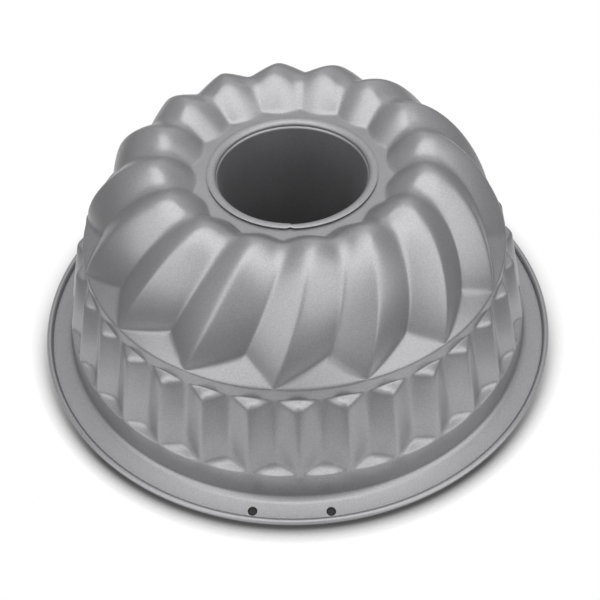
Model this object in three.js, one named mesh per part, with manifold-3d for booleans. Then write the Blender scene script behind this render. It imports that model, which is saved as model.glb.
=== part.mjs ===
// Kugelhopf mould, resting upside down on its rim. Millimetres, +Z up, origin under the centre
// of the rim. The side with the two hanging holes and the tube's seam faces -Y.
// Three pieces: a shell pressed from coated sheet steel, a centre tube whose lip and bead clamp
// the edge of the shell's centre hole, and the wire that the rim is rolled around.

import * as THREE from 'three';
import { mergeVertices } from 'three/addons/utils/BufferGeometryUtils.js';
import loadManifold from 'manifold-3d';

// Sheet and fit
const SHELL_SHEET = 0.6;
const TUBE_SHEET = 0.6;
const CLEARANCE = 0.3;

// Pattern of the shell
const LOBES = 16;
const LOBE_TURN = -3.7;
const LAND_SWIRL = 11.25;
const CREST_SWIRL = 13;
const LEDGE_SWIRL = 2.8;
const VALLEY_SWIRL_POWER = 1.2;
const NOSE_ROUND = 0.9;
const NOSE_BEND = 0.5;
const CREST_ROUND = 0.3;
const SHOULDER_ROUND = 0.1;
const FLUTE_ROUND = 0.05;
const PRESSED_EDGE = 0.3;

// Centre tube
const TUBE_BORE = 67.4;
const TUBE_FOOT_BORE = 52;
const TUBE_FOOT_HEIGHT = 5;
const LIP_WIDTH = 3.7;
const LIP_HEIGHT = 1.3;
const TUBE_BEAD = 1;

// Land around the tube, and the lobed dome
const LAND_HEIGHT = 91.1;
const LAND_WIDTH = 4.2;
const CUSP_DEPTH = 2.5;
const CREST_DIAMETER = 118;
const CREST_HEIGHT = 103.4;
const CREST_HANDLE = 15;
const VALLEY_CREST_DIAMETER = 113.8;
const VALLEY_CREST_HEIGHT = 99.8;
const VALLEY_CREST_HANDLE = 12.5;
const SHOULDER_HEIGHT = 59;
const SHOULDER_SLOPE = 76;
const SHOULDER_HANDLE = 22;
const LEDGE_WIDTH = 9.7;
const LEDGE_RISE = 6.8;
const VALLEY_SLOPE = 75;
const VALLEY_HANDLE = 18;

// Upright ring below the dome, and the fluted band
const RING_HEIGHT = 6.7;
const BAND_SPREAD = 12.4;
const BAND_DEPTH = 4.2;
const BAND_STEP = 0.8;
const COLLAR_HEIGHT = 16.1;

// Rim
const RIM_DIAMETER = 248;
const COLLAR_FILLET = 4.5;
const FLANGE_WIDTH = 6.9;
const FLANGE_FALL = 1.6;
const BEAD_DIAMETER = 3.6;
const CURL_END = 205;
const HANG_HOLE = 4.2;
const HANG_HOLE_SPACING = 33.6;
const HANG_HOLE_EDGE = 2.9;

// Fineness of the faceted surfaces
const COLUMNS = 8 * LOBES;
const RIM_COLUMNS = COLUMNS / 2;
const NOSE_STEPS = 3;
const SLOPE_STEPS = 6;
const FILLET_STEPS = 2;
const CURL_STEPS = 6;
const TUBE_SIDES = 64;
const TUBE_ROUND_STEPS = 2;
const WIRE_SIDES = 8;
const HOLE_SIDES = 24;

// How far the step to the inner skin is damped at sharp points, and the distance under which
// two vertices are one
const STEP_DAMPING = 0.02;
const MERGE_DISTANCE = 1e-4;

const { degToRad, lerp } = THREE.MathUtils;

// Radii that follow from the sizes above
const tubeRadius = TUBE_BORE / 2 + TUBE_SHEET / 2;
const shellHoleRadius = TUBE_BORE / 2 + TUBE_SHEET + CLEARANCE;
const lipRadius = tubeRadius + LIP_WIDTH;
const petalRadius = lipRadius + TUBE_SHEET / 2 + LAND_WIDTH;
const cuspRadius = petalRadius + CUSP_DEPTH;
const crestRadius = CREST_DIAMETER / 2;
const valleyCrestRadius = VALLEY_CREST_DIAMETER / 2;
const curlRadius = BEAD_DIAMETER / 2 - SHELL_SHEET;
const beadRadius = (RIM_DIAMETER - BEAD_DIAMETER) / 2;
const collarRadius = beadRadius - curlRadius - FLANGE_WIDTH - COLLAR_FILLET;
const shoulderRadius = collarRadius - BAND_SPREAD;
const beadHeight = BEAD_DIAMETER / 2;

// The dome's section along a ridge and along a valley: a nose that leans back from the land and
// levels out at the crest, then a slope from the crest to the shoulder.
function noseCurve(footRadius, topRadius, topHeight) {
  const foot = new THREE.Vector2(footRadius, LAND_HEIGHT);
  const bend = new THREE.Vector2(lerp(topRadius, footRadius, NOSE_BEND), topHeight);
  return new THREE.QuadraticBezierCurve(foot, bend, new THREE.Vector2(topRadius, topHeight));
}

function slopeCurve(top, topHandle, foot, footSlope, footHandle) {
  const lean = degToRad(footSlope);
  const back = new THREE.Vector2(-Math.cos(lean), Math.sin(lean)).multiplyScalar(footHandle);
  const leave = new THREE.Vector2(top.x + topHandle, top.y);
  return new THREE.CubicBezierCurve(top, leave, foot.clone().add(back), foot);
}

const crest = new THREE.Vector2(crestRadius, CREST_HEIGHT);
const valleyCrest = new THREE.Vector2(valleyCrestRadius, VALLEY_CREST_HEIGHT);
const starPoint = new THREE.Vector2(shoulderRadius - PRESSED_EDGE, SHOULDER_HEIGHT + PRESSED_EDGE);
const apex = new THREE.Vector2(shoulderRadius - LEDGE_WIDTH, SHOULDER_HEIGHT + LEDGE_RISE);
const ridgeNose = noseCurve(petalRadius, crestRadius, CREST_HEIGHT);
const valleyNose = noseCurve(cuspRadius, valleyCrestRadius, VALLEY_CREST_HEIGHT);
const ridgeSlope = slopeCurve(crest, CREST_HANDLE, starPoint, SHOULDER_SLOPE, SHOULDER_HANDLE);
const valleySlope = slopeCurve(valleyCrest, VALLEY_CREST_HANDLE, apex, VALLEY_SLOPE, VALLEY_HANDLE);

// How near a column is to a ridge, 1 on the ridge and 0 in the valley. The rounding is the
// share of the half pitch that the ridge's round takes.
function ridgeShare(column, pitch, offset, rounding) {
  const along = (column + offset) % pitch;
  const away = Math.min(along, pitch - along) / (pitch / 2);
  const fall = Math.hypot(away, rounding) - rounding;
  return 1 - fall / (Math.hypot(1, rounding) - rounding);
}

const lobeShare = (rounding) => (column) => ridgeShare(column, COLUMNS / LOBES, 0, rounding);
const fluteShare = (column) => ridgeShare(column, COLUMNS / LOBES / 2, COLUMNS / LOBES / 4, FLUTE_ROUND);

// One row of the shell's outer skin, from a ridge point, a valley point and their turns.
function rowPoints(row) {
  const count = row.columns ?? COLUMNS;
  const points = [];
  for (let i = 0; i < count; i += 1) {
    const column = (i * COLUMNS) / count;
    const share = row.share ? row.share(column) : 1;
    const radius = lerp(row.valley.x, row.ridge.x, share);
    const height = lerp(row.valley.y, row.ridge.y, share);
    const turn = lerp(row.valleyTurn ?? 0, row.ridgeTurn ?? 0, share);
    const angle = degToRad(LOBE_TURN + (column * 360) / COLUMNS + turn);
    points.push(new THREE.Vector3(radius * Math.sin(angle), -radius * Math.cos(angle), height));
  }
  return points;
}

function circleRow(radius, height, columns) {
  const place = new THREE.Vector2(radius, height);
  return { ridge: place, valley: place, columns };
}

// A row of the nose, where ridge and valley turn alike, and a row of the slope, where the
// ridge runs on to its point on the ring and the valley stops on the ledge.
function noseRow(t) {
  const turn = lerp(LAND_SWIRL, CREST_SWIRL, t);
  return {
    ridge: ridgeNose.getPoint(t),
    valley: valleyNose.getPoint(t),
    ridgeTurn: turn,
    valleyTurn: turn,
    share: lobeShare(lerp(NOSE_ROUND, CREST_ROUND, t)),
  };
}

function slopeRow(t) {
  return {
    ridge: ridgeSlope.getPointAt(t),
    valley: valleySlope.getPointAt(t),
    ridgeTurn: lerp(CREST_SWIRL, 0, t),
    valleyTurn: lerp(CREST_SWIRL, LEDGE_SWIRL, t ** VALLEY_SWIRL_POWER),
    share: lobeShare(lerp(CREST_ROUND, SHOULDER_ROUND, t)),
  };
}

// All rows of the outer skin, from the centre hole out to the end of the rim's curl.
function shellRows() {
  const rows = [circleRow(shellHoleRadius, LAND_HEIGHT)];
  for (let i = 0; i <= NOSE_STEPS; i += 1) {
    rows.push(noseRow(i / NOSE_STEPS));
  }
  for (let i = 1; i <= SLOPE_STEPS; i += 1) {
    rows.push(slopeRow(i / SLOPE_STEPS));
  }

  const ringFoot = SHOULDER_HEIGHT - RING_HEIGHT;
  rows.push(circleRow(shoulderRadius, SHOULDER_HEIGHT));
  rows.push(circleRow(shoulderRadius, ringFoot));

  const bandRidgeTop = new THREE.Vector2(shoulderRadius + BAND_DEPTH, ringFoot - BAND_STEP);
  const bandRidgeFoot = new THREE.Vector2(collarRadius - PRESSED_EDGE, COLLAR_HEIGHT + PRESSED_EDGE);
  const bandValleyTop = new THREE.Vector2(shoulderRadius + PRESSED_EDGE, ringFoot - PRESSED_EDGE);
  const bandValleyFoot = new THREE.Vector2(collarRadius - BAND_DEPTH, COLLAR_HEIGHT + BAND_STEP);
  rows.push({ ridge: bandRidgeTop, valley: bandValleyTop, share: fluteShare });
  rows.push({ ridge: bandRidgeFoot, valley: bandValleyFoot, share: fluteShare });
  rows.push(circleRow(collarRadius, COLLAR_HEIGHT));

  const flangeTop = SHELL_SHEET + FLANGE_FALL;
  const filletEnd = collarRadius + COLLAR_FILLET;
  for (let i = 0; i <= FILLET_STEPS; i += 1) {
    const bend = (i / FILLET_STEPS) * (Math.PI / 2);
    const radius = filletEnd - COLLAR_FILLET * Math.cos(bend);
    const height = flangeTop + COLLAR_FILLET * (1 - Math.sin(bend));
    rows.push(circleRow(radius, height, RIM_COLUMNS));
  }

  const curlStep = (CURL_END + 90) / (CURL_STEPS + 0.5);
  const curlCorner = curlRadius / Math.cos(degToRad(curlStep / 2));
  for (let i = -0.5; i <= CURL_STEPS + 0.5; i += 1) {
    const angle = degToRad(i * curlStep - 90);
    const radius = beadRadius + curlCorner * Math.cos(angle);
    rows.push(circleRow(radius, beadHeight + curlCorner * Math.sin(angle), RIM_COLUMNS));
  }
  return rows;
}

// Triangles between two rings of vertex numbers. One ring may have twice the other's columns.
function joinRings(upper, lower) {
  const faces = [];
  const count = Math.min(upper.length, lower.length);
  const upperStep = upper.length / count;
  const lowerStep = lower.length / count;
  for (let i = 0; i < count; i += 1) {
    const a = upper[i * upperStep];
    const b = lower[i * lowerStep];
    const aMid = upper[i * upperStep + upperStep - 1];
    const bMid = lower[i * lowerStep + lowerStep - 1];
    const aNext = upper[((i + 1) * upperStep) % upper.length];
    const bNext = lower[((i + 1) * lowerStep) % lower.length];
    if (upperStep === 2) {
      faces.push([a, b, aMid], [aMid, b, bNext], [aMid, bNext, aNext]);
    } else if (lowerStep === 2) {
      faces.push([a, b, bMid], [a, bMid, aNext], [aNext, bMid, bNext]);
    } else {
      faces.push([a, b, bNext], [a, bNext, aNext]);
    }
  }
  return faces;
}

function faceNormal(points, face) {
  const [a, b, c] = face.map((index) => points[index]);
  return new THREE.Triangle(a, b, c).getNormal(new THREE.Vector3());
}

// The step from a point of the outer skin to the inner skin, one sheet behind every face there.
function sheetStep(normals, sheet) {
  const spread = new THREE.Matrix3().identity().multiplyScalar(STEP_DAMPING).toArray();
  const pull = new THREE.Vector3();
  for (const normal of normals) {
    const parts = normal.toArray();
    for (let i = 0; i < 9; i += 1) {
      spread[i] += parts[i % 3] * parts[Math.floor(i / 3)];
    }
    pull.addScaledVector(normal, -sheet);
  }
  return pull.applyMatrix3(new THREE.Matrix3().fromArray(spread).invert());
}

// A closed sheet from the rows of its outer skin.
function sheetFromRows(rows, sheet) {
  const points = [];
  const rings = rows.map((row) => row.map((point) => points.push(point) - 1));
  const normals = points.map(() => []);
  for (let i = 0; i + 1 < rings.length; i += 1) {
    for (const face of joinRings(rings[i], rings[i + 1])) {
      const normal = faceNormal(points, face);
      face.forEach((index) => normals[index].push(normal));
    }
  }
  const innerRings = rings.map((ring) => ring.map((index) => {
    const step = sheetStep(normals[index], sheet);
    return points.push(points[index].clone().add(step)) - 1;
  }));
  const loop = [...rings, ...innerRings.reverse()];
  const faces = loop.flatMap((ring, i) => joinRings(ring, loop[(i + 1) % loop.length]));
  const geometry = new THREE.BufferGeometry().setFromPoints(points);
  return geometry.setIndex(faces.flat());
}

// The closed outline of a bent sheet, from the middle line of its section.
function sheetOutline(line, sheet) {
  const sides = [[], []];
  line.forEach((point, i) => {
    const before = line[Math.max(i - 1, 0)];
    const after = line[Math.min(i + 1, line.length - 1)];
    const arriving = (i ? point.clone().sub(before) : after.clone().sub(point)).normalize();
    const leaving = (after === point ? arriving.clone() : after.clone().sub(point)).normalize();
    const along = arriving.clone().add(leaving).normalize();
    const reach = sheet / 2 / along.dot(arriving);
    sides[0].push(new THREE.Vector2(point.x + along.y * reach, point.y - along.x * reach));
    sides[1].unshift(new THREE.Vector2(point.x - along.y * reach, point.y + along.x * reach));
  });
  return [...sides[0], ...sides[1], sides[0][0].clone()];
}

// The tube's section, from its open foot up to the bead, the neck and the rolled lip.
function tubeGeometry() {
  const clampTop = LAND_HEIGHT - SHELL_SHEET - CLEARANCE - TUBE_SHEET / 2;
  const lipFoot = LAND_HEIGHT + CLEARANCE;
  const section = new THREE.Path();
  section.moveTo(TUBE_FOOT_BORE / 2 + TUBE_SHEET / 2, TUBE_FOOT_HEIGHT);
  section.lineTo(tubeRadius, clampTop - 2 * TUBE_BEAD);
  section.absarc(tubeRadius, clampTop - TUBE_BEAD, TUBE_BEAD, -Math.PI / 2, Math.PI / 2, false);
  section.lineTo(tubeRadius, lipFoot);
  section.absellipse(tubeRadius + LIP_WIDTH / 2, lipFoot, LIP_WIDTH / 2, LIP_HEIGHT, Math.PI, 0, true);
  const line = section.getPoints(TUBE_ROUND_STEPS);
  const geometry = new THREE.LatheGeometry(sheetOutline(line, TUBE_SHEET), TUBE_SIDES);
  return geometry.rotateX(Math.PI / 2);
}

// Cutting with closed meshes
const manifold = await loadManifold();
manifold.setup();

function toSolid(geometry) {
  const bare = new THREE.BufferGeometry();
  bare.setAttribute('position', geometry.getAttribute('position'));
  bare.setIndex(geometry.getIndex());
  const merged = mergeVertices(bare, MERGE_DISTANCE);
  const mesh = new manifold.Mesh({
    numProp: 3,
    vertProperties: Float32Array.from(merged.getAttribute('position').array),
    triVerts: Uint32Array.from(merged.getIndex().array),
  });
  return new manifold.Manifold(mesh);
}

function toGeometry(solid) {
  const mesh = solid.getMesh();
  const geometry = new THREE.BufferGeometry();
  geometry.setAttribute('position', new THREE.BufferAttribute(mesh.vertProperties, 3));
  geometry.setIndex(new THREE.BufferAttribute(mesh.triVerts, 1));
  geometry.computeVertexNormals();
  return geometry;
}

// The shell with its two hanging holes punched through the flange near the bead.
function shellGeometry() {
  const holeRadius = beadRadius - curlRadius - HANG_HOLE_EDGE;
  let solid = toSolid(sheetFromRows(shellRows().map(rowPoints), SHELL_SHEET));
  for (const side of [-1, 1]) {
    const angle = side * Math.asin(HANG_HOLE_SPACING / 2 / holeRadius);
    const punch = new THREE.CylinderGeometry(HANG_HOLE / 2, HANG_HOLE / 2, 4 * BEAD_DIAMETER, HOLE_SIDES);
    punch.rotateX(Math.PI / 2);
    punch.translate(holeRadius * Math.sin(angle), -holeRadius * Math.cos(angle), 0);
    solid = solid.subtract(toSolid(punch));
  }
  return toGeometry(solid);
}

const coatedSteel = new THREE.MeshStandardMaterial({ color: 0xabacad, roughness: 0.38, metalness: 0.9 });
const tubeSteel = new THREE.MeshStandardMaterial({ color: 0xadaeaf, roughness: 0.48, metalness: 0.9 });
const wireSteel = new THREE.MeshStandardMaterial({ color: 0xb3b3b5, roughness: 0.42, metalness: 1 });

const mould = new THREE.Group();

const shell = new THREE.Mesh(shellGeometry(), coatedSteel);
shell.name = 'fluted_shell';
mould.add(shell);

const tube = new THREE.Mesh(tubeGeometry(), tubeSteel);
tube.name = 'centre_tube';
mould.add(tube);

const wireRadius = curlRadius - CLEARANCE;
const wireRing = new THREE.TorusGeometry(beadRadius, wireRadius, WIRE_SIDES, RIM_COLUMNS);
const wire = new THREE.Mesh(wireRing, wireSteel);
wire.name = 'rim_wire';
wire.rotation.z = degToRad(LOBE_TURN - 90);
wire.position.z = beadHeight;
mould.add(wire);

export default mould;
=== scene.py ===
# %% [markdown]
# # A kugelhopf mould, dressed in Blender
# The mould stands upside down on its rim. It is three pieces: a shell pressed from one round blank
# of coated steel, an open tube crimped into its middle, and the wire that the rim is rolled around.
# The frame holds all three as plain solids at their real size, in metres, +Z up, with the two hanging
# holes towards -Y. This script models each piece again with its fine radii, and gives it its finish.

import math
from collections import namedtuple

import bmesh
import bpy
from mathutils import Matrix, Vector
from mathutils.geometry import interpolate_bezier


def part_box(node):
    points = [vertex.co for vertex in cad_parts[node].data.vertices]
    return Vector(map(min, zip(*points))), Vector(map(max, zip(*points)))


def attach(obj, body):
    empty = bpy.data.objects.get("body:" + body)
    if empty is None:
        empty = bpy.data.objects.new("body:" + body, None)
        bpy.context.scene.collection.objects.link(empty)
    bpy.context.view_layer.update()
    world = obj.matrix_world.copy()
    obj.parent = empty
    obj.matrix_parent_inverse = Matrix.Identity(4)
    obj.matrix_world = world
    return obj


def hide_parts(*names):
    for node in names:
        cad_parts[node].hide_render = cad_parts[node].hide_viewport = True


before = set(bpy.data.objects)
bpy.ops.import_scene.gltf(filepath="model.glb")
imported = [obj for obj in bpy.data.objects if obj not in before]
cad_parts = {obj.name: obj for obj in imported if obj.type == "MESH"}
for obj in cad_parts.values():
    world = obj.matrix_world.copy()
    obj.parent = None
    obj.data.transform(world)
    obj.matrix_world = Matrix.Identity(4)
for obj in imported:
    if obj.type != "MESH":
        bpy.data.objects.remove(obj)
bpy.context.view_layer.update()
scene = bpy.context.scene
scene.view_settings.view_transform = "Standard"
MM = 0.001

# %% [markdown]
# ## The camera
# The photograph looks down on the mould from the side with the hanging holes, from close by, so the
# near rim is clearly wider than the far one. A camera's place, pitch, heading and roll can be tuned
# until the model's edges fall on the photographed ones. A rotation matrix is built from the three
# directions of the view, because its columns are simply the camera's right, up and back.

# %% Camera
CAMERA_PLACE = Vector((0.01596, -0.36563, 0.39693))
CAMERA_PITCH = math.radians(46.72)
CAMERA_HEADING = math.radians(-2.24)
CAMERA_ROLL = math.radians(-1.76)
CAMERA_LENS = 64.62

ahead = Vector((math.sin(CAMERA_HEADING) * math.cos(CAMERA_PITCH),
                math.cos(CAMERA_HEADING) * math.cos(CAMERA_PITCH),
                -math.sin(CAMERA_PITCH)))
level_right = ahead.cross(Vector((0, 0, 1))).normalized()
level_up = level_right.cross(ahead)
right = level_right * math.cos(CAMERA_ROLL) + level_up * math.sin(CAMERA_ROLL)
up = level_up * math.cos(CAMERA_ROLL) - level_right * math.sin(CAMERA_ROLL)

camera = bpy.data.objects.new("camera", bpy.data.cameras.new("camera"))
camera.data.lens = CAMERA_LENS
camera.data.clip_start = 0.01
camera.matrix_world = Matrix.Translation(CAMERA_PLACE) @ Matrix((right, up, -ahead)).transposed().to_4x4()
scene.collection.objects.link(camera)
scene.camera = camera
print("camera", round(CAMERA_PLACE.length, 3), "m from the origin")

# %% [markdown]
# ## Helpers for sheet metal
# The shell and the tube are both sheet that is formed from a flat start, so one pair of helpers serves
# both. The first spins a row of vertices into a flat round blank. The second forms the blank: each of
# its rings has a rule that gives a place for an angle. Angles start at -Y and run towards +X.

# %% Blank and forming
BLANK_STEP = 1 * MM


def mix(start, end, share):
    """The number that lies a share of the way from start to end."""
    return start + (end - start) * share


def at_angle(radius, height, angle):
    """A point of the mould, from its radius, height and angle."""
    return Vector((radius * math.sin(angle), -radius * math.cos(angle), height))


def spin_blank(ring_count, column_count):
    """A flat ring of quads, with one ring of vertices for each row of the formed sheet."""
    blank = bmesh.new()
    chain = [blank.verts.new((0, -(ring + 1) * BLANK_STEP, 0)) for ring in range(ring_count)]
    edges = [blank.edges.new(pair) for pair in zip(chain, chain[1:])]
    bmesh.ops.spin(blank, geom=chain + edges, axis=(0, 0, 1), cent=(0, 0, 0), angle=math.tau,
                   steps=column_count, use_merge=True)
    return blank


def form_blank(blank, rows, spread):
    """Moves each vertex of the blank to the place that its row's rule gives for its spread angle."""
    for vert in blank.verts:
        ring = round(vert.co.length / BLANK_STEP) - 1
        angle = math.atan2(vert.co.x, -vert.co.y) % math.tau
        vert.co = rows[ring](spread(angle))


print("blanks can be spun and formed")

# %% [markdown]
# A finished bmesh becomes an object at the origin, with its place kept in its mesh. Modifiers such as
# Solidify and Boolean are settled into the mesh, so that the mesh holds what is seen. Edges that
# bend more than the limit stay sharp, which keeps the cut edges of the sheet crisp.

# %% Making pieces
SHARP_EDGE = math.radians(40)


def make_piece(mesh_data, name):
    """Turns a bmesh into an object of its own."""
    mesh = bpy.data.meshes.new(name)
    mesh_data.to_mesh(mesh)
    mesh_data.free()
    piece = bpy.data.objects.new(name, mesh)
    scene.collection.objects.link(piece)
    return piece


def thicken(piece, thickness, offset):
    """Gives a formed sheet its thickness: offset -1 puts it behind the sheet, 0 on both sides."""
    wall = piece.modifiers.new("sheet", "SOLIDIFY")
    wall.thickness = thickness
    wall.offset = offset
    wall.use_even_offset = True


def settle_modifiers(piece):
    """Makes the modifiers' result the piece's own mesh, smooth but for its sharp edges."""
    evaluated = piece.evaluated_get(bpy.context.evaluated_depsgraph_get())
    mesh = bpy.data.meshes.new_from_object(evaluated)
    piece.modifiers.clear()
    piece.data = mesh
    mesh.shade_smooth()
    mesh.set_sharp_from_angle(angle=SHARP_EDGE)
    return sum(len(face.vertices) - 2 for face in mesh.polygons)


print("pieces keep edges sharp over", round(math.degrees(SHARP_EDGE)), "degrees")

# %% [markdown]
# ## The shell's section
# The real shell is drawn from a flat blank in a press: a land around the tube, sixteen swirled lobes,
# a plain upright ring, a band of thirty-two flutes, a collar, and a flange with a rolled edge. Its
# overall width and height, and the lip that the land lies around, are read from the frame. The rest
# are the shell's own sizes, one name for each.

# %% Sizes of the shell
shell_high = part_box("fluted_shell")[1]
tube_low, tube_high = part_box("centre_tube")

SHEET = 0.6 * MM
LOBES = 16
FLUTES = 2 * LOBES
PRESSED_EDGE = 0.3 * MM

LIP_RADIUS = tube_high.x
LAND_HEIGHT = 91.1 * MM
LAND_WIDTH = 4.2 * MM
CUSP_DEPTH = 2.5 * MM
HOLE_RADIUS = 35.4 * MM
CREST = Vector((59.0 * MM, shell_high.z))
VALLEY_CREST = Vector((56.9 * MM, 99.8 * MM))
SHOULDER_HEIGHT = 59.0 * MM
LEDGE_WIDTH = 9.7 * MM
LEDGE_RISE = 6.8 * MM
RING_HEIGHT = 6.7 * MM
BAND_SPREAD = 12.4 * MM
BAND_DEPTH = 4.2 * MM
BAND_STEP = 0.8 * MM
COLLAR_HEIGHT = 16.1 * MM
COLLAR_LEAN = 1.1 * MM
COLLAR_FILLET = 3.6 * MM
RIM_SPARE = 0.02 * MM
RIM_RADIUS = shell_high.x - RIM_SPARE
RIM_WIDTH = 14.4 * MM
FLANGE_FALL = 0.9 * MM
BEAD_RADIUS = 1.5 * MM
CURL_RADIUS = BEAD_RADIUS - SHEET

bead_ring = RIM_RADIUS - BEAD_RADIUS
collar = RIM_RADIUS - RIM_WIDTH
shoulder = collar - BAND_SPREAD
ring_foot = SHOULDER_HEIGHT - RING_HEIGHT
print("collar", round(collar / MM, 2), "shoulder", round(shoulder / MM, 2), "mm")

# %% [markdown]
# Cut the shell along a ridge and along a valley, and two sections show. A station holds one point of
# each, how far the pattern has turned there, and how round its ridge and its valley are. In between,
# the sheet falls from ridge to valley in flat flanks, as a pressed flute does. The ridge's round is a
# hyperbola and the valley's is a short parabola. A wave of sines would look like corrugated card.

# %% Stations
LOBE_TURN = -3.7
Station = namedtuple("Station", "ridge valley turns rounds ridges", defaults=((0, 0), (0.1, 0.1), LOBES))


def ridge_share(angle, station):
    """How near an angle is to a ridge: 1 on the ridge, 0 in the valley."""
    pitch = math.tau / station.ridges
    start = pitch / 2 if station.ridges == FLUTES else 0
    along = (angle + start) % pitch
    away = min(along, pitch - along) / (pitch / 2)
    ridge_round, valley_round = station.rounds
    into_valley = max(0, away - 1 + valley_round)
    eased = away - into_valley ** 2 / (2 * valley_round)
    fall = math.hypot(eased, ridge_round) - ridge_round
    return 1 - fall / (math.hypot(1 - valley_round / 2, ridge_round) - ridge_round)


def station_row(station):
    """The rule of one row of the shell: its place for an angle."""
    def place(angle):
        share = ridge_share(angle, station)
        radius, height = station.valley.lerp(station.ridge, share)
        ridge_turn, valley_turn = station.turns
        turn = LOBE_TURN + mix(valley_turn, ridge_turn, share)
        return at_angle(radius, height, angle + math.radians(turn))
    return place


def plain_row(radius, height):
    """The rule of a round row."""
    return lambda angle: at_angle(radius, height, angle + math.radians(LOBE_TURN))


print("a station's row halfway to a valley:", round(ridge_share(math.pi / LOBES / 2, Station(0, 0)), 2))

# %% [markdown]
# Sheet never bends over a knife edge, so each corner of the section is rounded. A quadratic curve runs
# from the sheet before the corner to the sheet after it. It reaches a set way along both, but never
# past their middles, so that two corners close together can't cross. Round corners catch the light in
# a soft line, which tells the eye that this is pressed metal.

# %% Rounded corners
CORNER_STEPS = 4
CORNER_SHARE = 0.45
CORNER_REACH = {"land": 2.4 * MM, "ledge": 2.6 * MM, "shoulder": 1.3 * MM, "ring": 0.7 * MM,
                "flute": 3.2 * MM, "collar": 0.7 * MM}


def bent_rows(before, corner, after, reach):
    """Rows round a pressed corner: a short curve from the sheet before it to the sheet after it."""
    def row(step):
        def place(angle):
            middle = corner(angle)
            come = before(angle) - middle
            go = after(angle) - middle
            start = middle + come.normalized() * min(reach, come.length * CORNER_SHARE)
            end = middle + go.normalized() * min(reach, go.length * CORNER_SHARE)
            return start * (1 - step) ** 2 + middle * 2 * step * (1 - step) + end * step ** 2
        return place
    return [row(number / CORNER_STEPS) for number in range(CORNER_STEPS + 1)]


print("corners to round:", ", ".join(CORNER_REACH))

# %% [markdown]
# ## The dome's rows
# Next to the land each lobe has a nose: it leans back in a nearly straight face and levels out at the
# crest, which is a curve with one control point. From the crest a curve with two handles runs down to
# the shoulder. A ridge ends in a point on the shoulder. A valley ends higher and further in, which
# leaves a small flat ledge between two points. The points along the long curve are spaced evenly by
# length, so that the rows lie evenly on the metal.

# %% Curves of the dome
NOSE_BEND = 0.33
CREST_HANDLE = 15 * MM
STAR_SLOPE = math.radians(76)
STAR_HANDLE = 22 * MM
VALLEY_HANDLE = 12.5 * MM
APEX_SLOPE = math.radians(75)
APEX_HANDLE = 18 * MM
SLOPE_STEPS = 25
CURVE_POINTS = 240


def nose_point(foot_radius, top, share):
    """A point of the nose, from the land at 0 to the level crest at 1."""
    foot = Vector((foot_radius, LAND_HEIGHT))
    bend = Vector((mix(top.x, foot_radius, NOSE_BEND), top.y))
    return foot * (1 - share) ** 2 + bend * 2 * share * (1 - share) + top * share ** 2


def slope_points(top, top_handle, foot, foot_slope, foot_handle):
    """Evenly spaced points from the crest to the shoulder."""
    leave = top + Vector((top_handle, 0))
    arrive = foot + Vector((-math.cos(foot_slope), math.sin(foot_slope))) * foot_handle
    fine = interpolate_bezier(top, leave, arrive, foot, CURVE_POINTS)
    lengths = [0.0]
    for first, second in zip(fine, fine[1:]):
        lengths.append(lengths[-1] + (second - first).length)
    points = [top]
    for step in range(1, SLOPE_STEPS + 1):
        wanted = lengths[-1] * step / SLOPE_STEPS
        after = next(number for number, length in enumerate(lengths) if length >= wanted - 1e-9)
        share = (wanted - lengths[after - 1]) / (lengths[after] - lengths[after - 1])
        points.append(fine[after - 1].lerp(fine[after], share))
    return points


petal_foot = LIP_RADIUS + LAND_WIDTH
cusp_foot = petal_foot + CUSP_DEPTH
star = Vector((shoulder - PRESSED_EDGE, SHOULDER_HEIGHT + PRESSED_EDGE))
apex = Vector((shoulder - LEDGE_WIDTH, SHOULDER_HEIGHT + LEDGE_RISE))
ridge_slope = slope_points(CREST, CREST_HANDLE, star, STAR_SLOPE, STAR_HANDLE)
valley_slope = slope_points(VALLEY_CREST, VALLEY_HANDLE, apex, APEX_SLOPE, APEX_HANDLE)
print("land from", round(HOLE_RADIUS / MM, 1), "to", round(petal_foot / MM, 1), "mm")

# %% [markdown]
# The lobes swirl: their ridges and valleys turn round the mould on the way down, and the valleys end
# a little ahead of the points. Near the land a lobe is round like a finger. Below the crest the press
# has drawn the sheet tight, so the rounds shrink fast to crisp ridges and creases.

# %% Rows of the dome
LAND_SWIRL = 11.25
CREST_SWIRL = 13.0
LEDGE_SWIRL = 2.8
VALLEY_SWIRL_POWER = 1.2
NOSE_ROUND = 0.9
CREST_ROUND = 0.4
STAR_ROUND = 0.04
NOSE_CREASE = 0.12
CREST_CREASE = 0.4
LEDGE_CREASE = 0.05
SOFT_POWER = 4
NOSE_STEPS = 9
NOSE_START = 0.08


def nose_station(share):
    """The station at a share of the way from the land to the crest."""
    turn = mix(LAND_SWIRL, CREST_SWIRL, share)
    rounds = (mix(NOSE_ROUND, CREST_ROUND, share), mix(NOSE_CREASE, CREST_CREASE, share))
    return Station(nose_point(petal_foot, CREST, share), nose_point(cusp_foot, VALLEY_CREST, share),
                   (turn, turn), rounds)


def slope_station(step):
    """The station at a step of the way from the crest to the shoulder."""
    share = step / SLOPE_STEPS
    turns = (mix(CREST_SWIRL, 0, share), mix(CREST_SWIRL, LEDGE_SWIRL, share ** VALLEY_SWIRL_POWER))
    softness = (1 - share) ** SOFT_POWER
    rounds = (mix(STAR_ROUND, CREST_ROUND, softness), mix(LEDGE_CREASE, CREST_CREASE, softness))
    return Station(ridge_slope[step], valley_slope[step], turns, rounds)


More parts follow.
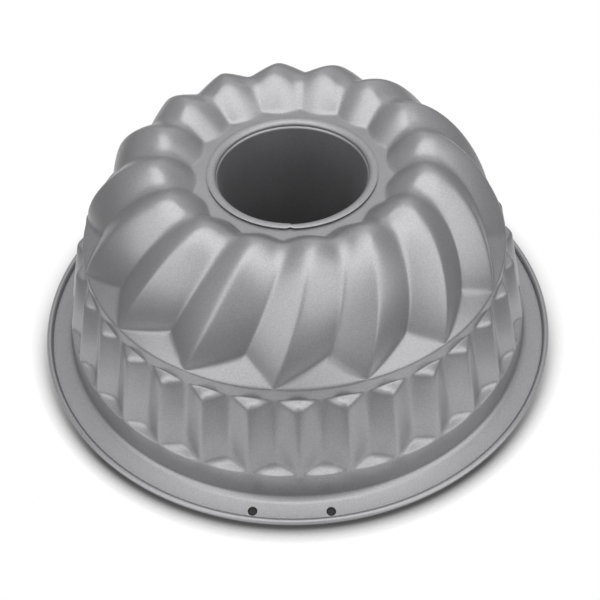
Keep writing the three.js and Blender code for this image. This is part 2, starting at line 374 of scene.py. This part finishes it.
hole_edge = plain_row(HOLE_RADIUS, LAND_HEIGHT)
nose_foot = station_row(nose_station(0))
nose_shares = [mix(NOSE_START, 1, step / NOSE_STEPS) for step in range(NOSE_STEPS + 1)]
nose_rows = [station_row(nose_station(share)) for share in nose_shares]
slope_rows = [station_row(slope_station(step)) for step in range(1, SLOPE_STEPS - 1)]
ledge_edge = station_row(slope_station(SLOPE_STEPS))
print("dome rows", len(nose_rows) + len(slope_rows))

# %% [markdown]
# ## The band's rows
# Below the shoulder the ring stands upright, and then the flutes step out. Their heads are cut by a
# shallow cone, which leaves a bright triangle on each ridge. Their feet run out on the collar in
# half-moons. The valleys start a little below the ring, and the ridges end a little above the collar,
# so that triangles and half-moons stand apart. The flutes are crisp halfway down and rounder at both
# ends, where the sheet had to flow in two directions at once.

# %% Rows of the band
FLUTE_HEAD = (0.24, 0.5)
FLUTE_MIDDLE = (0.07, 0.14)
FLUTE_FOOT = (0.25, 0.8)
FLUTE_STEPS = (0.18, 0.34, 0.5, 0.66, 0.82)
FLUTE_RUNOUT = 1.9 * MM

shoulder_edge = plain_row(shoulder, SHOULDER_HEIGHT)
ring_edge = plain_row(shoulder, ring_foot)
ridge_head = Vector((shoulder + BAND_DEPTH, ring_foot - BAND_STEP))
ridge_end = Vector((collar - PRESSED_EDGE, COLLAR_HEIGHT + FLUTE_RUNOUT))
valley_head = Vector((shoulder + PRESSED_EDGE, ring_foot - FLUTE_RUNOUT))
valley_end = Vector((collar - BAND_DEPTH, COLLAR_HEIGHT + BAND_STEP))


def flute_row(share):
    """A row of the flutes, from their heads at 0 to their feet at 1."""
    end = Vector(FLUTE_HEAD) if share < 0.5 else Vector(FLUTE_FOOT)
    rounds = Vector(FLUTE_MIDDLE).lerp(end, abs(2 * share - 1) ** 2)
    return station_row(Station(ridge_head.lerp(ridge_end, share), valley_head.lerp(valley_end, share),
                               (0, 0), tuple(rounds), FLUTES))


flute_top = flute_row(0)
flute_rows = [flute_row(share) for share in FLUTE_STEPS]
flute_foot = flute_row(1)
collar_edge = plain_row(collar, COLLAR_HEIGHT)
print("band", round((ring_foot - COLLAR_HEIGHT) / MM, 1), "mm high")

# %% [markdown]
# ## The rim's rows
# The collar leans out a little, so that the press can let go of it, and turns into the flange with a
# wide radius. The flange falls to the table, and its edge curls up and inwards around the wire. One
# straight line touches both the collar's round and the curl, so its slope follows from two circles.

# %% Rows of the rim
FILLET_STEPS = 6
CURL_STEPS = 12
CURL_END = math.radians(205)

fillet_centre = Vector((collar + COLLAR_LEAN + COLLAR_FILLET, SHEET + FLANGE_FALL + COLLAR_FILLET))
collar_draft = math.atan(COLLAR_LEAN / (COLLAR_HEIGHT - fillet_centre.y))
curl_centre = Vector((bead_ring, BEAD_RADIUS))
between = curl_centre - fillet_centre
flange_slope = math.atan2(between.y, between.x) + math.asin((COLLAR_FILLET - CURL_RADIUS) / between.length)


def arc_points(centre, radius, start, end, steps):
    """Points along an arc of a section."""
    turns = [mix(start, end, step / steps) for step in range(steps + 1)]
    return [centre + Vector((math.cos(turn), math.sin(turn))) * radius for turn in turns]


fillet = arc_points(fillet_centre, COLLAR_FILLET, math.pi + collar_draft, 1.5 * math.pi + flange_slope,
                    FILLET_STEPS)
curl = arc_points(curl_centre, CURL_RADIUS, flange_slope - math.pi / 2, CURL_END, CURL_STEPS)
collar_foot = plain_row(*fillet[0])
rim_rows = [plain_row(*point) for point in fillet + curl]
print("flange falls", round(-math.degrees(flange_slope), 1), "degrees")

# %% [markdown]
# ## Pressing the shell
# The rows are put in order from the centre hole to the end of the curl. The blank is spun with as many
# rings as there are rows, and pressed. Its columns are drawn together near the ridges and valleys,
# where the metal bends most. A Solidify modifier then gives the sheet its thickness on the inside.

# %% Press the shell
COLUMNS_PER_QUARTER = 8
COLUMN_GATHER = 0.6


def gather_columns(angle):
    """Draws the columns together at every quarter of a lobe, where a ridge or valley can run."""
    quarter = math.tau / (4 * LOBES)
    place = angle / quarter
    return (place - COLUMN_GATHER * math.sin(math.tau * place) / math.tau) * quarter


shell_rows = [hole_edge]
shell_rows += bent_rows(hole_edge, nose_foot, nose_rows[0], CORNER_REACH["land"])[:-1]
shell_rows += nose_rows + slope_rows
shell_rows += bent_rows(slope_rows[-1], ledge_edge, shoulder_edge, CORNER_REACH["ledge"])
shell_rows += bent_rows(ledge_edge, shoulder_edge, ring_edge, CORNER_REACH["shoulder"])
shell_rows += bent_rows(shoulder_edge, ring_edge, flute_top, CORNER_REACH["ring"])
shell_rows += bent_rows(ring_edge, flute_top, flute_rows[0], CORNER_REACH["flute"]) + flute_rows
shell_rows += bent_rows(flute_rows[-1], flute_foot, collar_edge, CORNER_REACH["flute"])
shell_rows += bent_rows(flute_foot, collar_edge, collar_foot, CORNER_REACH["collar"])
shell_rows += rim_rows

shell_blank = spin_blank(len(shell_rows), 4 * LOBES * COLUMNS_PER_QUARTER)
form_blank(shell_blank, shell_rows, gather_columns)
land_face = min(shell_blank.faces, key=lambda face: face.calc_center_median().to_2d().length)
land_face.normal_update()
if land_face.normal.z < 0:
    bmesh.ops.reverse_faces(shell_blank, faces=shell_blank.faces)
shell = make_piece(shell_blank, "mould_shell")
thicken(shell, SHEET, -1)
print("shell", len(shell_rows), "rows,", settle_modifiers(shell), "triangles")

# %% [markdown]
# ## Punching the hanging holes
# Two holes near the bead let the mould hang on a hook. They are punched straight through the flange
# after the pressing. A Boolean modifier with two short cylinders does the same here, and the cylinders
# are thrown away afterwards.

# %% Punch the holes
HANG_HOLE = 4.2 * MM
HANG_SPACING = 33.6 * MM
HANG_EDGE = 3.5 * MM
PUNCH_LENGTH = 12 * MM
PUNCH_SIDES = 40

hole_ring = bead_ring - CURL_RADIUS - HANG_EDGE
punch_data = bmesh.new()
for side in (-1, 1):
    turn = side * math.asin(HANG_SPACING / 2 / hole_ring)
    bmesh.ops.create_cone(punch_data, cap_ends=True, segments=PUNCH_SIDES, radius1=HANG_HOLE / 2,
                          radius2=HANG_HOLE / 2, depth=PUNCH_LENGTH,
                          matrix=Matrix.Translation(at_angle(hole_ring, 0, turn)))
punch = make_piece(punch_data, "punch")
cut = shell.modifiers.new("hanging_holes", "BOOLEAN")
cut.object = punch
cut.operation = "DIFFERENCE"
cut.solver = "EXACT"
shell_triangles = settle_modifiers(shell)
bpy.data.objects.remove(punch)
print("punched shell", shell_triangles, "triangles")

# %% [markdown]
# ## The centre tube
# The tube is a strip of the same sheet, rolled and lapped at the front. Its upper end passes through
# the hole in the land, and is folded outwards into a lip. Just under the land the sheet is pressed
# out again, so that the land's edge is clamped between the two. From above that press shows as a thin
# dark slot below the lip, over a bright rounded edge. The tube narrows towards its open foot.

# %% Section of the tube
TUBE_MIDDLE = 34.0 * MM
TUBE_FOOT = 26.3 * MM
TUBE_FOOT_HEIGHT = tube_low.z
SLOT_ROUND = 0.42 * MM
SLOT_DEPTH = 0.9 * MM
WALL_STEP = 0.6 * MM
EDGE_ROUND = 1.0 * MM
LIP_BEND = Vector((2.4 * MM, 1.6 * MM))
LIP_TOP = 0.85 * MM
TAPER_STEPS = 8
ROUND_STEPS = 10
LIP_STEPS = 14

bend_centre = Vector((TUBE_MIDDLE + LIP_BEND.x, LAND_HEIGHT + LIP_TOP - LIP_BEND.y))
lip_end = math.acos((LIP_RADIUS - SHEET / 2 - bend_centre.x) / LIP_BEND.x)
slot_low = bend_centre.y - 2 * SLOT_ROUND
foot = Vector((TUBE_FOOT, TUBE_FOOT_HEIGHT))
wall_top = Vector((TUBE_MIDDLE - WALL_STEP, slot_low - EDGE_ROUND))
slot_end = Vector((TUBE_MIDDLE + SLOT_DEPTH - SLOT_ROUND, slot_low + SLOT_ROUND))

section = [foot.lerp(wall_top, step / TAPER_STEPS) for step in range(TAPER_STEPS)]
section += arc_points(wall_top + Vector((EDGE_ROUND, 0)), EDGE_ROUND, math.pi, math.pi / 2, ROUND_STEPS)
section += arc_points(slot_end, SLOT_ROUND, -math.pi / 2, math.pi / 2, ROUND_STEPS)
section.append(Vector((TUBE_MIDDLE, bend_centre.y)))
for step in range(1, LIP_STEPS + 1):
    turn = mix(math.pi, lip_end, step / LIP_STEPS)
    section.append(bend_centre + Vector((math.cos(turn) * LIP_BEND.x, math.sin(turn) * LIP_BEND.y)))
print("tube section", len(section), "points")

# %% [markdown]
# The tube's rows are round, but for the seam. One side of the lap stands out by nearly a sheet and
# fades away round the tube, and the lip has a small nick where the two ends of the strip meet. The
# columns are gathered at the seam, because a step needs close columns to look crisp.

# %% Form the tube
LAP_TURN = math.radians(34)
LAP_STEP = 0.5 * MM
NOTCH_DEPTH = 0.7 * MM
NOTCH_WIDTH = 1.1 * MM
TUBE_COLUMNS = 256
SEAM_GATHER = 0.75


def tube_row(point, lip_share):
    """The rule of one row of the tube. The lap lifts one side of the seam, and the lip is nicked there."""
    def place(angle):
        lap = LAP_STEP * max(0, 1 - angle / LAP_TURN)
        from_seam = min(angle, math.tau - angle) * point.x
        nick = NOTCH_DEPTH * lip_share * math.exp(-(from_seam / NOTCH_WIDTH) ** 2)
        return at_angle(point.x + lap * (1 - lip_share) - nick, point.y, angle)
    return place


def gather_at_seam(angle):
    """Draws the columns together at the seam."""
    return angle - SEAM_GATHER * math.sin(angle)


lip_start = len(section) - LIP_STEPS // 2
tube_rows = []
for number, point in enumerate(section):
    lip_share = max(0, number - lip_start + 1) / (len(section) - lip_start)
    tube_rows.append(tube_row(point, lip_share))
tube_blank = spin_blank(len(tube_rows), TUBE_COLUMNS)
form_blank(tube_blank, tube_rows, gather_at_seam)
bmesh.ops.recalc_face_normals(tube_blank, faces=tube_blank.faces)
tube = make_piece(tube_blank, "mould_tube")
thicken(tube, SHEET, 0)
print("tube", len(tube_rows), "rows,", settle_modifiers(tube), "triangles")

# %% [markdown]
# ## The rim's wire
# A rim of thin sheet is rolled around a wire, so that it stays round and doesn't cut the hand. The
# wire shows only in the slit of the rolled edge. It is a circle spun round the mould.

# %% Spin the wire
WIRE_RADIUS = 0.8 * MM
WIRE_SIDES = 16
WIRE_COLUMNS = 192

wire_data = bmesh.new()
stand = Matrix.Translation((0, -bead_ring, BEAD_RADIUS)) @ Matrix.Rotation(math.pi / 2, 4, "Y")
ring = bmesh.ops.create_circle(wire_data, segments=WIRE_SIDES, radius=WIRE_RADIUS, matrix=stand)
ring_edges = list({edge for vert in ring["verts"] for edge in vert.link_edges})
bmesh.ops.spin(wire_data, geom=ring["verts"] + ring_edges, axis=(0, 0, 1), cent=(0, 0, 0), angle=math.tau,
               steps=WIRE_COLUMNS, use_merge=True)
bmesh.ops.recalc_face_normals(wire_data, faces=wire_data.faces)
wire = make_piece(wire_data, "mould_wire")
wire.data.shade_smooth()
print("wire", len(wire.data.polygons), "faces")

# %% [markdown]
# ## Node helpers
# Finishes and studio are both built from a few kinds of node. These helpers add one node each and
# return its output, so that a longer sum reads like a formula. A value may be a number or a socket.

# %% Node helpers
def set_or_link(tree, socket, value):
    """Writes a number on a socket, or links another socket to it."""
    if isinstance(value, (int, float)):
        socket.default_value = value
    else:
        tree.links.new(value, socket)


def add_noise(tree, vector, scale, detail):
    """A noise texture on a vector, at a fixed number of bumps per metre."""
    noise = tree.nodes.new("ShaderNodeTexNoise")
    noise.inputs["Scale"].default_value = scale
    noise.inputs["Detail"].default_value = detail
    tree.links.new(vector, noise.inputs["Vector"])
    return noise.outputs["Fac"]


def add_range(tree, value, low, high, start=0.3, end=0.7):
    """Maps a value from one range to another. Noise spends its time between 0.3 and 0.7."""
    node = tree.nodes.new("ShaderNodeMapRange")
    sockets = ("Value", "From Min", "From Max", "To Min", "To Max")
    for name, wanted in zip(sockets, (value, start, end, low, high)):
        set_or_link(tree, node.inputs[name], wanted)
    return node.outputs["Result"]


def add_math(tree, operation, *values):
    """A math node on its values."""
    node = tree.nodes.new("ShaderNodeMath")
    node.operation = operation
    for socket, wanted in zip(node.inputs, values):
        set_or_link(tree, socket, wanted)
    return node.outputs["Value"]


print("node helpers ready")

# %% [markdown]
# ## Finishes
# The coating is a thin satin lacquer full of fine metal flakes, sprayed on before or after pressing.
# Its look is a shared node group, because shell and tube have the same lacquer. Flakes of about half
# a millimetre give the grain. Slow clouds change the shade and the roughness a little, as an uneven
# spray does. A fine orange peel joins the flakes in the height.

# %% Coating group
FLAKE_SCALE = 1700
PEEL_SCALE = 900
CLOUD_SCALE = 38
FLAKE_SHADE = (0.91, 1.09)
CLOUD_SHADE = (0.975, 1.025)
CLOUD_ROUGHNESS = (-0.025, 0.025)

flake_group = bpy.data.node_groups.new("metal_flake_lacquer", "ShaderNodeTree")
flake_group.interface.new_socket("Vector", in_out="INPUT", socket_type="NodeSocketVector")
flake_group.interface.new_socket("Roughness", in_out="INPUT", socket_type="NodeSocketFloat")
for name in ("Shade", "Roughness", "Height"):
    flake_group.interface.new_socket(name, in_out="OUTPUT", socket_type="NodeSocketFloat")
flake_in = flake_group.nodes.new("NodeGroupInput")
flake_out = flake_group.nodes.new("NodeGroupOutput")

flakes = add_noise(flake_group, flake_in.outputs["Vector"], FLAKE_SCALE, 1)
peel = add_noise(flake_group, flake_in.outputs["Vector"], PEEL_SCALE, 2)
clouds = add_noise(flake_group, flake_in.outputs["Vector"], CLOUD_SCALE, 2)
shade = add_math(flake_group, "MULTIPLY", add_range(flake_group, flakes, *FLAKE_SHADE),
                 add_range(flake_group, clouds, *CLOUD_SHADE))
rough = add_math(flake_group, "ADD", flake_in.outputs["Roughness"],
                 add_range(flake_group, clouds, *CLOUD_ROUGHNESS))
height = add_math(flake_group, "ADD", flakes, peel)
flake_group.links.new(shade, flake_out.inputs["Shade"])
flake_group.links.new(rough, flake_out.inputs["Roughness"])
flake_group.links.new(height, flake_out.inputs["Height"])
print("flake group", len(flake_group.nodes), "nodes")

# %% [markdown]
# Each piece has a material of its own that places the group with its own values. The colour is scaled
# by the shade, and the height drives a very small bump. The lacquer is not fully metallic, because the
# clear binder around the flakes scatters some light of its own. The grain lies in Object coordinates,
# so that it keeps its size on every piece.

# %% Materials
SHELL_COLOUR = (0.412, 0.409, 0.422)
TUBE_COLOUR = (0.422, 0.419, 0.432)
WIRE_COLOUR = (0.45, 0.45, 0.46)
GRAIN_HEIGHT = 0.02 * MM


def coated_steel(name, colour, metallic, roughness, bump):
    """A satin metallic lacquer on steel."""
    material = bpy.data.materials.new(name)
    material.use_nodes = True
    tree = material.node_tree
    shader = tree.nodes["Principled BSDF"]
    shader.inputs["Metallic"].default_value = metallic
    place = tree.nodes.new("ShaderNodeTexCoord")
    lacquer = tree.nodes.new("ShaderNodeGroup")
    lacquer.node_tree = flake_group
    lacquer.inputs["Roughness"].default_value = roughness
    tree.links.new(place.outputs["Object"], lacquer.inputs["Vector"])
    tint = tree.nodes.new("ShaderNodeVectorMath")
    tint.operation = "SCALE"
    tint.inputs[0].default_value = colour
    tree.links.new(lacquer.outputs["Shade"], tint.inputs["Scale"])
    tree.links.new(tint.outputs["Vector"], shader.inputs["Base Color"])
    tree.links.new(lacquer.outputs["Roughness"], shader.inputs["Roughness"])
    relief = tree.nodes.new("ShaderNodeBump")
    relief.inputs["Strength"].default_value = bump
    relief.inputs["Distance"].default_value = GRAIN_HEIGHT
    tree.links.new(lacquer.outputs["Height"], relief.inputs["Height"])
    tree.links.new(relief.outputs["Normal"], shader.inputs["Normal"])
    return material


shell.data.materials.append(coated_steel("shell_lacquer", SHELL_COLOUR, 0.9, 0.39, 0.3))
tube.data.materials.append(coated_steel("tube_lacquer", TUBE_COLOUR, 0.9, 0.48, 0.3))
wire.data.materials.append(coated_steel("drawn_wire", WIRE_COLOUR, 1.0, 0.42, 0.2))
print("materials", [material.name for material in (*shell.data.materials, *tube.data.materials)])

# %% [markdown]
# ## The floor
# The mould stands on a white sheet, which is just as large as the picture, on a greyer floor. Satin
# metal mirrors what lies around it, so a white floor without an end would wash out the dark flanks.
# The numbers here only shape that sheet: 1 inside it, and the floor's grey beyond its edge. The sheet
# is wider at the back, where the camera sees further.

# %% Floor and white sheet
FLOOR_HALF = 20.0
PAPER_WIDTH = 0.1555
PAPER_SPLAY = 0.2
PAPER_FRONT = 0.1585
PAPER_BACK = 0.36
PAPER_FADE = 0.002
FLOOR_GREY = 0.3

floor_data = bmesh.new()
bmesh.ops.create_grid(floor_data, x_segments=1, y_segments=1, size=FLOOR_HALF)
floor = make_piece(floor_data, "floor")
paper = bpy.data.materials.new("white_paper")
paper.use_nodes = True
floor.data.materials.append(paper)
paper_tree = paper.node_tree
paper_place = paper_tree.nodes.new("ShaderNodeTexCoord")
spot = paper_tree.nodes.new("ShaderNodeSeparateXYZ")
paper_tree.links.new(paper_place.outputs["Object"], spot.inputs["Vector"])

from_middle = add_math(paper_tree, "ABSOLUTE", spot.outputs["X"])
half_width = add_math(paper_tree, "MULTIPLY_ADD", spot.outputs["Y"], PAPER_SPLAY, PAPER_WIDTH)
past_side = add_math(paper_tree, "SUBTRACT", from_middle, half_width)
past_front = add_math(paper_tree, "SUBTRACT", -PAPER_FRONT, spot.outputs["Y"])
past_back = add_math(paper_tree, "SUBTRACT", spot.outputs["Y"], PAPER_BACK)
past_end = add_math(paper_tree, "MAXIMUM", past_front, past_back)
past_edge = add_math(paper_tree, "MAXIMUM", past_side, past_end)
whiteness = add_range(paper_tree, past_edge, 1, FLOOR_GREY, 0, PAPER_FADE)
print("white sheet", round(2 * PAPER_WIDTH, 3), "m wide at the mould")

# %% [markdown]
# The camera and mirroring rays see the sheet as white, at a strength of 1. All other rays see a plain
# matt paper, so the white adds no light to the mould. A white that shines can't be shaded by lamps, so
# the shadow where the rim touches the sheet is worked out with Ambient Occlusion. It is deep at the
# front and weak at the back, as if the light came from behind the mould.

# %% Contact shadow
SHADOW_REACH = 8 * MM
SHADOW_POWER = 9.0
SHADOW_FRONT_LEVEL = 0.08
SHADOW_BACK_LEVEL = 0.75
SHADOW_FRONT = -0.09
SHADOW_BACK = 0.01
SHADOW_SAMPLES = 16

contact = paper_tree.nodes.new("ShaderNodeAmbientOcclusion")
contact.inputs["Distance"].default_value = SHADOW_REACH
contact.samples = SHADOW_SAMPLES
open_floor = add_math(paper_tree, "POWER", contact.outputs["AO"], SHADOW_POWER)
darkest = add_range(paper_tree, spot.outputs["Y"], SHADOW_FRONT_LEVEL, SHADOW_BACK_LEVEL,
                    SHADOW_FRONT, SHADOW_BACK)
shadow = add_range(paper_tree, open_floor, darkest, 1, 0, 1)
white = paper_tree.nodes.new("ShaderNodeEmission")
paper_tree.links.new(add_math(paper_tree, "MULTIPLY", shadow, whiteness), white.inputs["Strength"])

matt = paper_tree.nodes["Principled BSDF"]
matt.inputs["Base Color"].default_value = (0.5, 0.5, 0.5, 1)
matt.inputs["Roughness"].default_value = 0.9
rays = paper_tree.nodes.new("ShaderNodeLightPath")
shown = add_math(paper_tree, "MAXIMUM", rays.outputs["Is Camera Ray"], rays.outputs["Is Glossy Ray"])
shown = add_math(paper_tree, "MAXIMUM", shown, rays.outputs["Is Transmission Ray"])
blend = paper_tree.nodes.new("ShaderNodeMixShader")
paper_tree.links.new(shown, blend.inputs["Fac"])
paper_tree.links.new(matt.outputs["BSDF"], blend.inputs[1])
paper_tree.links.new(white.outputs["Emission"], blend.inputs[2])
paper_tree.links.new(blend.outputs["Shader"], paper_tree.nodes["Material Output"].inputs["Surface"])
print("contact shadow reaches", round(SHADOW_REACH / MM), "mm")

# %% [markdown]
# Under the mould it is dark, but the shining sheet would light the tube and the hanging holes from
# below. A dark disc on the floor inside the rim is painted shade for the mould's shadow there. It never
# shows past the bead.

# %% Dark disc of painted shade
DISC_RADIUS = 0.1212
DISC_HEIGHT = 0.2 * MM
DISC_SIDES = 96

disc_data = bmesh.new()
bmesh.ops.create_circle(disc_data, cap_ends=True, segments=DISC_SIDES, radius=DISC_RADIUS,
                        matrix=Matrix.Translation((0, 0, DISC_HEIGHT)))
disc = make_piece(disc_data, "painted_shade_disc")
# The disc's near-black colour is painted shade, standing in for the mould's shadow on the floor.
under_mould_shade = bpy.data.materials.new("painted_under_mould_shade")
under_mould_shade.use_nodes = True
under_mould_shade.node_tree.nodes["Principled BSDF"].inputs["Base Color"].default_value = (0.04, 0.04, 0.04, 1)
under_mould_shade.node_tree.nodes["Principled BSDF"].inputs["Roughness"].default_value = 0.9
disc.data.materials.append(under_mould_shade)
print("disc ends", round((bead_ring - DISC_RADIUS) / MM, 1), "mm inside the bead's ring")

# %% [markdown]
# ## The lamps
# Soft area lamps are what a metal object needs, because it shows the lamps themselves as its light
# areas. One hangs close overhead and brightens the crests. A tall one on each side in front brightens
# the flanks that face it, and a weak one stands behind. Each is placed by its heading, elevation and
# distance as seen from the mould: heading 0 is the camera's side, 90 is the right. Because the
# overhead lamp is near, the crests mirror its middle while the low front of the mould is at its edge.

# %% Lamps
LAMP_TARGET = Vector((0, 0, 0.05))
NEAR = 0.55
FAR = 1.2


def aim_softbox(name, heading, elevation, distance, width, depth, power):
    """A flat soft lamp in a direction from the mould, turned towards it."""
    lamp = bpy.data.lights.new(name, "AREA")
    lamp.shape = "RECTANGLE"
    lamp.size = width
    lamp.size_y = depth
    lamp.energy = power
    holder = bpy.data.objects.new(name, lamp)
    lean = math.radians(elevation)
    holder.location = at_angle(distance * math.cos(lean), distance * math.sin(lean), math.radians(heading))
    holder.rotation_euler = (LAMP_TARGET - holder.location).to_track_quat("-Z", "Y").to_euler()
    scene.collection.objects.link(holder)
    return holder


lamps = [aim_softbox("overhead_softbox", 0, 83, NEAR, 0.55, 0.46, 0.88),
         aim_softbox("left_softbox", -48, 31, FAR, 1.1, 1.22, 3.3),
         aim_softbox("right_softbox", 60, 32, FAR, 1.2, 1.25, 4.1),
         aim_softbox("rear_softbox", 172, 45, FAR, 1.2, 1.2, 0.8)]
print("lamps", [round(holder.data.energy, 2) for holder in lamps], "W")

# %% [markdown]
# The world is the pale room around the lamps. It is a little darker near the horizon than overhead,
# as a room with a pale ceiling is, and a little darker at the sides than in front and behind.

# %% World
WORLD_LEVEL = 0.62
WORLD_HORIZON = 0.5
WORLD_FADE = 0.5
WORLD_SIDES = 0.8

world = bpy.data.worlds.new("studio")
world.use_nodes = True
scene.world = world
room = world.node_tree
room_place = room.nodes.new("ShaderNodeTexCoord")
room_parts = room.nodes.new("ShaderNodeSeparateXYZ")
room.links.new(room_place.outputs["Generated"], room_parts.inputs["Vector"])
sideways = add_math(room, "ABSOLUTE", room_parts.outputs["X"])
level = add_math(room, "MULTIPLY", add_range(room, sideways, 1, WORLD_SIDES, 0, 1),
                 add_range(room, room_parts.outputs["Z"], WORLD_HORIZON, WORLD_LEVEL, 0, WORLD_FADE))
room.nodes["Background"].inputs["Color"].default_value = (1, 1, 1, 1)
room.links.new(level, room.nodes["Background"].inputs["Strength"])
print("room from", WORLD_HORIZON, "to", WORLD_LEVEL)

# %% [markdown]
# ## Hand over
# Each piece rides on the frame's one body, and hides the plain solid that it stands for.

# %% Ride and replace
for piece, node, slot in ((shell, "fluted_shell", "shell_coating"), (tube, "centre_tube", "tube_coating"),
                          (wire, "rim_wire", "wire_steel")):
    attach(piece, "root")
    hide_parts(node)
